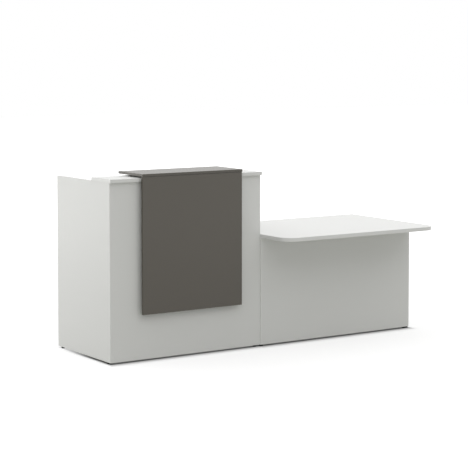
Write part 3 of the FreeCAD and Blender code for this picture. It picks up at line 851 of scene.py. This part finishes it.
class COUNTER_OT_cam_locks(Operator):
    """Make the cam locks: a face with a cross pocket over a wall that hooks round the bolt."""

    bl_idname = "counter.cam_locks"
    bl_label = "Cam locks"

    def execute(self, context):
        bolts = [sum(span(points), Vector()) / 2 for points in loose_parts("cam_bolts")]
        drums = [span(points) for points in loose_parts("cam_locks")]
        places = [self.place(low, high, bolts) for low, high in drums]
        low, high = drums[0]
        mesh = self.lock(context.scene.counter_fittings, (high.z - low.z) / 2, max(high - low))
        finished_piece("cam_locks_cast", repeated(mesh, places), "counter", "cast_zinc", "cam_locks")
        return {"FINISHED"}

    def place(self, low, high, bolts):
        """A frame on a lock's face, with x towards the bolt that it holds."""
        middle = (low + high) / 2
        spans = high - low
        axis = max(range(3), key=lambda way: spans[way])
        out = Vector((0, 1, 0)) if axis == 1 else Vector((-1, 0, 0))
        towards = min(bolts, key=lambda bolt: (bolt - middle).length) - middle
        towards.z = 0
        return square_frame(middle + out * spans[axis] / 2, out, towards)

    def lock(self, fittings, radius, depth):
        """One lock, with its open side along x."""
        mesh = bmesh.new()
        outline = cross_outline(radius * CROSS_ARM_SHARE, radius * CROSS_WIDTH_SHARE)
        pocketed_head(mesh, sized_profile(CAM_FACE_SHARES, radius, -depth), outline,
                      depth * CAM_POCKET_DEPTH_SHARE, CROSS_TAPER_SHARE, fittings.turned_sides)
        turn_profile(mesh, sized_profile(CAM_FOOT_SHARES, radius, -depth), fittings.turned_sides)
        self.hook_wall(mesh, fittings, radius, depth)
        return mesh

    def hook_wall(self, mesh, fittings, radius, depth):
        """The wall between face and foot, left open towards the bolt."""
        sides = fittings.turned_sides
        loops = []
        for step in range(sides + 1):
            turn = HOOK_GAP + (math.tau - 2 * HOOK_GAP) * step / sides
            corners = []
            for across, down in ((0, 0), (1, 0), (1, 1), (0, 1)):
                reach = radius * CAM_WALL_SHARES[across]
                height = -depth * CAM_WALL_HEIGHT_SHARES[down]
                corners.append(mesh.verts.new((reach * math.cos(turn), reach * math.sin(turn), height)))
            loops.append(corners)
        for first, second in zip(loops, loops[1:]):
            join_rings(mesh, first, second)
        mesh.faces.new(loops[0])
        mesh.faces.new(loops[-1])


class COUNTER_OT_links(Operator):
    """Make the connectors between the modules: capped sleeves and threaded bolts."""

    bl_idname = "counter.links"
    bl_label = "Module connectors"

    def execute(self, context):
        fittings = context.scene.counter_fittings
        self.build(fittings, "link_sleeves", self.sleeve)
        self.build(fittings, "link_bolts", self.bolt)
        return {"FINISHED"}

    def build(self, fittings, node, shank):
        """Caps with a hexagon pocket, each on its shank."""
        places, length, radius = turned_places(node)
        mesh = bmesh.new()
        outline = circle(radius * HEX_POCKET_SHARE, HEX_SIDES)
        pocketed_head(mesh, sized_profile(CAP_SHARES, radius, -fittings.cap_high), outline,
                      fittings.cap_high * POCKET_DEPTH_SHARE, 1.0, fittings.turned_sides)
        shank(mesh, fittings, length)
        finished_piece(f"{node}_capped", repeated(mesh, places), "counter", "zinc_steel", node)

    def sleeve(self, mesh, fittings, length):
        """A round sleeve, open at its far end."""
        outer = fittings.link_sleeve / 2
        inner = fittings.link_bolt / 2 + fittings.link_play
        profile = [(0, -fittings.cap_high), (outer, -fittings.cap_high), (outer, -length), (inner, -length),
                   (inner, -2 * fittings.cap_high), (0, -2 * fittings.cap_high)]
        turn_profile(mesh, profile, fittings.turned_sides)

    def bolt(self, mesh, fittings, length):
        """A threaded shank."""
        threaded_shank(mesh, fittings.link_bolt / 2, fittings.thread_depth, fittings.link_pitch,
                       -fittings.cap_high, -length)


class COUNTER_OT_standoffs(Operator):
    """Make the standoffs behind the dark front board: spools with a hole through them."""

    bl_idname = "counter.standoffs"
    bl_label = "Standoffs"

    def execute(self, context):
        fittings = context.scene.counter_fittings
        places, length, radius = turned_places("accent_standoffs")
        bore = fittings.standoff_bore / 2
        arris = fittings.standoff_arris
        flange = fittings.standoff_flange
        waist = radius - fittings.standoff_waist
        half = [(bore, 0), (radius - arris, 0), (radius, -arris),
                (radius, -flange), (waist, -flange - arris)]
        profile = half + [(across, -length - height) for across, height in reversed(half)]
        mesh = bmesh.new()
        rings = turn_profile(mesh, profile, 2 * fittings.turned_sides)
        join_rings(mesh, rings[-1], rings[0])
        joined = repeated(mesh, places)
        finished_piece("accent_standoffs_spool", joined, "counter", "black_plastic", "accent_standoffs")
        return {"FINISHED"}


class COUNTER_OT_studio(Operator):
    """Set up the pale floor, the soft light and the camera."""

    bl_idname = "counter.studio"
    bl_label = "Studio"

    def execute(self, context):
        studio = context.scene.counter_studio
        context.scene.view_settings.view_transform = "Standard"
        self.floor(studio)
        self.world(context.scene, studio)
        self.key_lamp(context.scene, studio)
        self.top_lamp(context.scene, studio)
        self.camera(context.scene, studio)
        return {"FINISHED"}

    def floor(self, studio):
        """A wide level floor that takes the counter's shadow."""
        half = studio.floor_size / 2
        mesh = bmesh.new()
        corners = ((-half, -half), (half, -half), (half, half), (-half, half))
        mesh.faces.new([mesh.verts.new((x, y, 0)) for x, y in corners])
        data = bpy.data.meshes.new("floor")
        mesh.to_mesh(data)
        mesh.free()
        data.materials.append(self.floor_material(studio))
        floor = bpy.data.objects.new("floor", data)
        bpy.context.scene.collection.objects.link(floor)

    def floor_material(self, studio):
        """White to the camera and in reflections, with the real shadow and a painted shade near and under
        the panels, and greyer to bounced light.
        """
        material, tree = empty_material("studio_floor")
        place = tree.nodes.new("ShaderNodeTexCoord").outputs["Object"]
        clear = []
        painted_shade_masks = []
        for module in ("tall", "low"):
            sides, ahead, behind, half_board = self.beyond(tree, place, module)
            clear.append(self.glow_outside_painted_shade(tree, studio, sides, ahead, behind))
            painted_shade_masks.append(self.painted_contact_shade(tree, studio, sides, ahead, behind, half_board))
        # The glow is withheld near and under the panels: painted shade, over the real shadow on the matte
        # part.
        near = math_node(tree, "MULTIPLY", math_node(tree, "MINIMUM", *clear), studio.floor_glow)
        away = add_node(tree, "ShaderNodeVectorMath", {0: place}, operation="LENGTH").outputs["Value"]
        far = self.smooth_step(tree, away, studio.near_floor, studio.far_floor)
        glow = math_node(tree, "MAXIMUM", near, far)
        white = add_node(tree, "ShaderNodeEmission", {"Color": WHITE, "Strength": glow})
        # Painted shade: the floor's colour is scaled down under and right beside the panels.
        tone = math_node(tree, "MINIMUM", *painted_shade_masks)
        colour = add_node(tree, "ShaderNodeVectorMath", {0: tuple(studio.floor_colour), "Scale": tone},
                          operation="SCALE")
        matte = add_node(tree, "ShaderNodeBsdfDiffuse", {"Color": colour.outputs["Vector"]})
        shown = add_node(tree, "ShaderNodeAddShader", {0: white.outputs[0], 1: matte.outputs[0]})
        bounce = add_node(tree, "ShaderNodeBsdfDiffuse", {"Color": (*studio.bounce_colour, 1)})
        mixed = add_node(tree, "ShaderNodeMixShader", {0: seen_directly(tree), 1: bounce.outputs[0],
                                                       2: shown.outputs[0]})
        add_node(tree, "ShaderNodeOutputMaterial", {"Surface": mixed.outputs[0]})
        return material

    def beyond(self, tree, place, module):
        """How far the floor lies beside, before and behind a module, and half its panels' thickness."""
        left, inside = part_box(f"{module}_left_end_panel")
        _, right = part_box(f"{module}_right_end_panel")
        front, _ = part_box(f"{module}_front_panel")
        point = add_node(tree, "ShaderNodeSeparateXYZ", {"Vector": place})
        across, deep = point.outputs["X"], point.outputs["Y"]
        sides = math_node(tree, "MAXIMUM", math_node(tree, "SUBTRACT", left.x, across),
                          math_node(tree, "SUBTRACT", across, right.x))
        ahead = math_node(tree, "SUBTRACT", front.y, deep)
        behind = math_node(tree, "SUBTRACT", deep, right.y)
        return sides, ahead, behind, (inside.x - left.x) / 2

    def painted_contact_shade(self, tree, studio, sides, ahead, behind, half_board):
        """One on open floor, falling to a darker contact tone under and right beside a module's panels: a
        painted contact shadow.
        """
        nearest = math_node(tree, "MAXIMUM", sides, ahead)
        offset = math_node(tree, "ABSOLUTE", math_node(tree, "ADD", nearest, half_board), 0.0)
        apart = self.smooth_step(tree, offset, half_board, half_board + studio.contact_shade,
                                 studio.painted_contact_tone)
        return math_node(tree, "MAXIMUM", apart, self.smooth_step(tree, behind, 0.0, studio.contact_shade))

    def glow_outside_painted_shade(self, tree, studio, sides, ahead, behind):
        """One outside a module, falling to nothing under its panels and well inside its open back."""
        # Painted shade: where this falls, the floor's glow is withheld.
        beside = self.smooth_step(tree, sides, -studio.panel_shade, studio.side_shade)
        closed = math_node(tree, "MAXIMUM", beside,
                           self.smooth_step(tree, ahead, -studio.panel_shade, studio.front_shade))
        return math_node(tree, "MAXIMUM", closed, self.smooth_step(tree, behind, -studio.back_shade, 0.0))

    def smooth_step(self, tree, value, start, end, least=0.0):
        """A value eased from the least to one between start and end."""
        inputs = {"Value": value, "From Min": start, "From Max": end, "To Min": least}
        eased = add_node(tree, "ShaderNodeMapRange", inputs, interpolation_type="SMOOTHSTEP")
        return eased.outputs["Result"]

    def world(self, scene, studio):
        """Soft light, strongest from the horizon, seen as plain white by the camera and in reflections."""
        scene.world = bpy.data.worlds.new("studio")
        scene.world.use_nodes = True
        tree = scene.world.node_tree
        tree.nodes.clear()
        way = tree.nodes.new("ShaderNodeTexCoord").outputs["Generated"]
        height = add_node(tree, "ShaderNodeSeparateXYZ", {"Vector": way}).outputs["Z"]
        strength = add_node(tree, "ShaderNodeMapRange", {"Value": height, "To Min": studio.fill,
                                                         "To Max": studio.fill_above}).outputs["Result"]
        soft = add_node(tree, "ShaderNodeBackground", {"Color": WHITE, "Strength": strength})
        white = add_node(tree, "ShaderNodeBackground", {"Color": WHITE, "Strength": 1.0})
        mixed = add_node(tree, "ShaderNodeMixShader", {0: seen_directly(tree), 1: soft.outputs[0],
                                                       2: white.outputs[0]})
        add_node(tree, "ShaderNodeOutputWorld", {"Surface": mixed.outputs[0]})

    def key_lamp(self, scene, studio):
        """A large square soft lamp behind on the left that faces the counter."""
        light = bpy.data.lights.new("key_lamp", "AREA")
        light.energy = studio.key_power
        light.size = studio.key_size
        lamp = bpy.data.objects.new("key_lamp", light)
        lamp.location = studio.key_place
        aim = (CAD_BOX[0] + CAD_BOX[1]) / 2 - Vector(studio.key_place)
        lamp.rotation_euler = aim.to_track_quat("-Z", "Y").to_euler()
        scene.collection.objects.link(lamp)

    def top_lamp(self, scene, studio):
        """Very soft light from straight overhead."""
        light = bpy.data.lights.new("top_lamp", "SUN")
        light.energy = studio.top_light
        light.angle = studio.top_spread
        scene.collection.objects.link(bpy.data.objects.new("top_lamp", light))

    def camera(self, scene, studio):
        """A long lens at the visitor's left, a little above the counter."""
        lens = bpy.data.cameras.new("camera")
        lens.lens = studio.camera_lens
        lens.shift_y = studio.camera_shift
        camera = bpy.data.objects.new("camera", lens)
        camera.location = studio.camera_place
        camera.rotation_euler = (math.pi / 2 - studio.camera_dip, 0, -studio.camera_turn)
        scene.collection.objects.link(camera)
        scene.camera = camera


PIECE_OPERATORS = (
    COUNTER_OT_white_boards,
    COUNTER_OT_graphite_boards,
    COUNTER_OT_hidden_fixings,
    COUNTER_OT_feet,
    COUNTER_OT_screws,
    COUNTER_OT_brackets,
    COUNTER_OT_cam_locks,
    COUNTER_OT_links,
    COUNTER_OT_standoffs,
    COUNTER_OT_studio,
)


class COUNTER_PT_panel(Panel):
    """Lists the counter's pieces."""

    bl_idname = "COUNTER_PT_panel"
    bl_label = "Reception counter"
    bl_space_type = "VIEW_3D"
    bl_region_type = "UI"
    bl_category = "Counter"

    def draw(self, context):
        for operator in PIECE_OPERATORS:
            self.layout.operator(operator.bl_idname)
        for settings in (context.scene.counter_finishes, context.scene.counter_fittings,
                         context.scene.counter_studio):
            box = self.layout.box()
            for name in settings.__annotations__:
                box.prop(settings, name)


SETTINGS = {
    "counter_finishes": CounterFinishes,
    "counter_fittings": CounterFittings,
    "counter_studio": CounterStudio,
}


def register():
    """Add the settings, operators and panel."""
    for name, settings in SETTINGS.items():
        bpy.utils.register_class(settings)
        setattr(bpy.types.Scene, name, PointerProperty(type=settings))
    for shown in (*PIECE_OPERATORS, COUNTER_PT_panel):
        bpy.utils.register_class(shown)


def unregister():
    """Take the settings, operators and panel away again."""
    for shown in reversed((*PIECE_OPERATORS, COUNTER_PT_panel)):
        bpy.utils.unregister_class(shown)
    for name, settings in SETTINGS.items():
        delattr(bpy.types.Scene, name)
        bpy.utils.unregister_class(settings)


def main():
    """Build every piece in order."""
    register()
    bpy.ops.counter.white_boards()
    bpy.ops.counter.graphite_boards()
    bpy.ops.counter.hidden_fixings()
    bpy.ops.counter.feet()
    bpy.ops.counter.screws()
    bpy.ops.counter.brackets()
    bpy.ops.counter.cam_locks()
    bpy.ops.counter.links()
    bpy.ops.counter.standoffs()
    bpy.ops.counter.studio()


if __name__ == "__main__":
    main()
